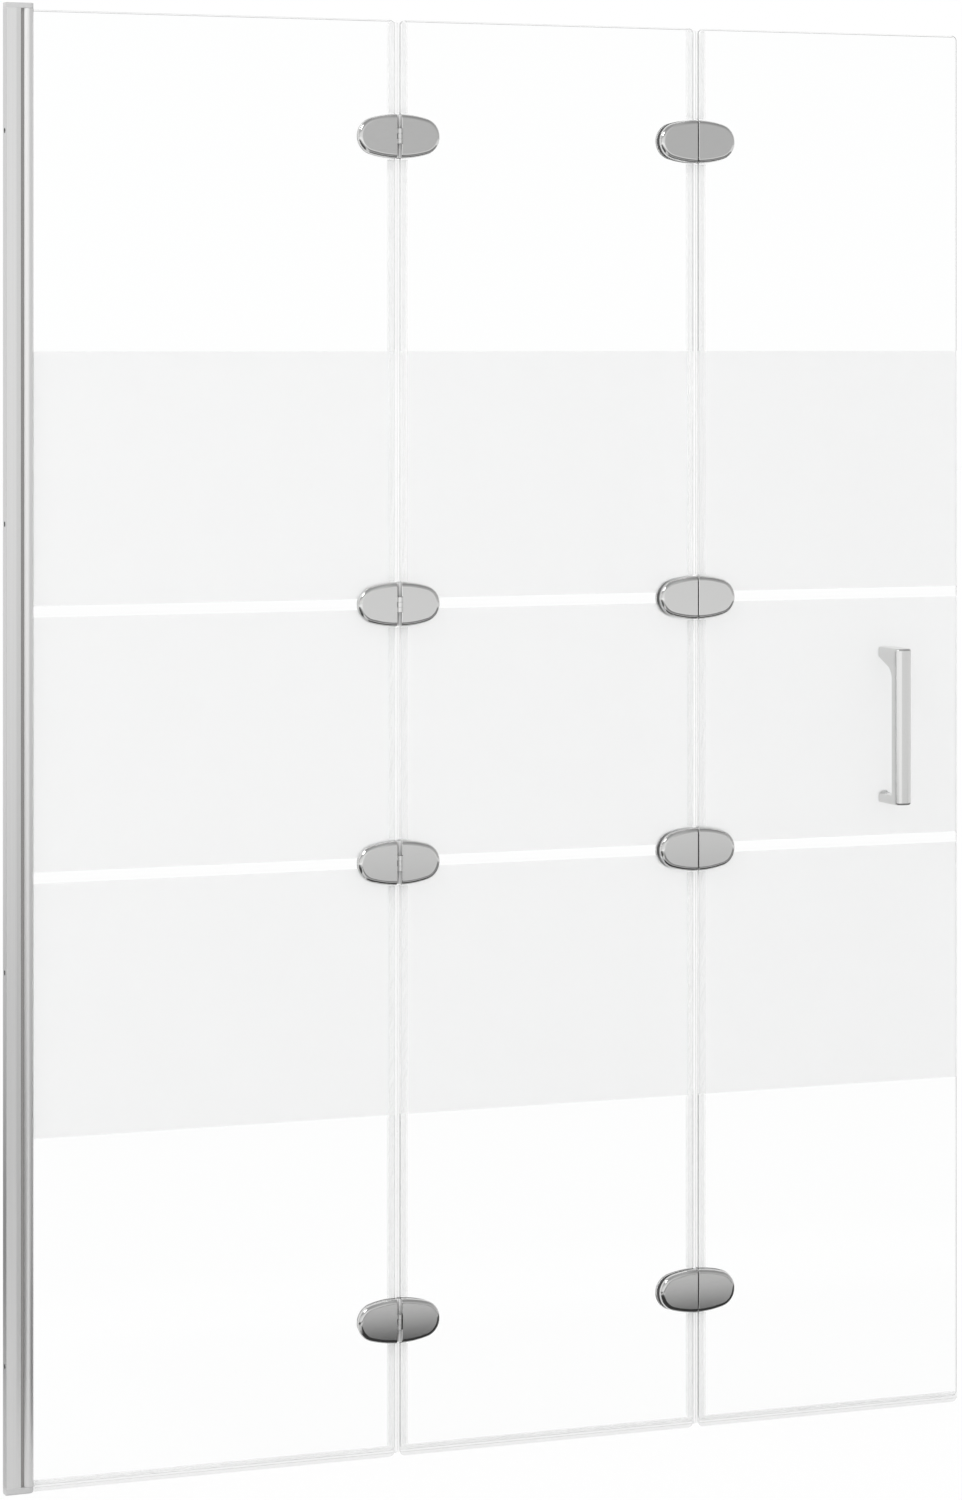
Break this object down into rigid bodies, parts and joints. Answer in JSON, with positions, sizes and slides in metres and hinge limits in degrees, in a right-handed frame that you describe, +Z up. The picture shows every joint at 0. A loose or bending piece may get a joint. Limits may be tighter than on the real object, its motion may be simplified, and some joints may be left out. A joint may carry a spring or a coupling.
{
  "type": "folding shower screen",
  "caption": "Folding bath screen of frosted-band glass panels on oval clamp hinges, with a pivoting wall profile, clear edge seals and a bow handle.",
  "frame": {"origin": "where the wall face meets the bath rim, under the wall profile, on the middle plane of the glass", "axes": "+X along the screen away from the wall, +Y from the room side to the bath side, +Z up"},
  "size_m": [0.999, 0.0554, 1.397],
  "materials": {
    "satin_aluminium": "satin anodised",
    "cap_plastic": "satin grey",
    "dark_seal": "soft grey",
    "glass": "clear tempered glass with frosted bands",
    "clear_vinyl": "clear, slightly milky",
    "pale_pad": "soft, pale",
    "steel": "bright",
    "satin_chrome": "satin chrome"
  },
  "bodies": {
    "wall_mount": {"wall_channel": "satin_aluminium", "channel_seal": "dark_seal", "bottom_cap": "cap_plastic", "top_cap": "cap_plastic"},
    "first_panel": {"pivot_post": "satin_aluminium", "glazing_gasket": "clear_vinyl", "first_glass": "glass", "first_bottom_seal": "clear_vinyl", "first_edge_seal": "clear_vinyl", "first_hinge_bottom_left_front": "satin_chrome", "first_hinge_bottom_left_back": "satin_chrome", "first_hinge_lower_left_front": "satin_chrome", "first_hinge_lower_left_back": "satin_chrome", "first_hinge_upper_left_front": "satin_chrome", "first_hinge_upper_left_back": "satin_chrome", "first_hinge_top_left_front": "satin_chrome", "first_hinge_top_left_back": "satin_chrome", "first_hinge_pads": "pale_pad", "first_hinge_screws": "steel", "first_hinge_pins": "steel"},
    "second_panel": {"second_glass": "glass", "second_bottom_seal": "clear_vinyl", "second_left_edge_seal": "clear_vinyl", "second_right_edge_seal": "clear_vinyl", "first_hinge_bottom_right_front": "satin_chrome", "first_hinge_bottom_right_back": "satin_chrome", "first_hinge_lower_right_front": "satin_chrome", "first_hinge_lower_right_back": "satin_chrome", "first_hinge_upper_right_front": "satin_chrome", "first_hinge_upper_right_back": "satin_chrome", "first_hinge_top_right_front": "satin_chrome", "first_hinge_top_right_back": "satin_chrome", "second_hinge_bottom_left_front": "satin_chrome", "second_hinge_bottom_left_back": "satin_chrome", "second_hinge_lower_left_front": "satin_chrome", "second_hinge_lower_left_back": "satin_chrome", "second_hinge_upper_left_front": "satin_chrome", "second_hinge_upper_left_back": "satin_chrome", "second_hinge_top_left_front": "satin_chrome", "second_hinge_top_left_back": "satin_chrome", "second_hinge_pads": "pale_pad", "second_hinge_screws": "steel", "second_hinge_pins": "steel"},
    "third_panel": {"third_glass": "glass", "third_bottom_seal": "clear_vinyl", "third_edge_seal": "clear_vinyl", "second_hinge_bottom_right_front": "satin_chrome", "second_hinge_bottom_right_back": "satin_chrome", "second_hinge_lower_right_front": "satin_chrome", "second_hinge_lower_right_back": "satin_chrome", "second_hinge_upper_right_front": "satin_chrome", "second_hinge_upper_right_back": "satin_chrome", "second_hinge_top_right_front": "satin_chrome", "second_hinge_top_right_back": "satin_chrome", "third_hinge_pads": "pale_pad", "third_hinge_screws": "steel", "handle": "satin_chrome", "handle_screws": "steel", "handle_washers": "satin_chrome", "handle_pads": "pale_pad"}
  },
  "joints": [
    {"name": "wall_swing", "type": "hinge", "parent": "wall_mount", "child": "first_panel", "pos_m": [0.0221, 0, 0], "axis": [0, 0, 1], "range_deg": [0, 90]},
    {"name": "first_fold", "type": "hinge", "parent": "first_panel", "child": "second_panel", "pos_m": [0.392, -0.0085, 0], "axis": [0, 0, -1], "range_deg": [0, 180]},
    {"name": "second_fold", "type": "hinge", "parent": "second_panel", "child": "third_panel", "pos_m": [0.7085, 0.0085, 0], "axis": [0, 0, 1], "range_deg": [0, 180]}
  ]
}
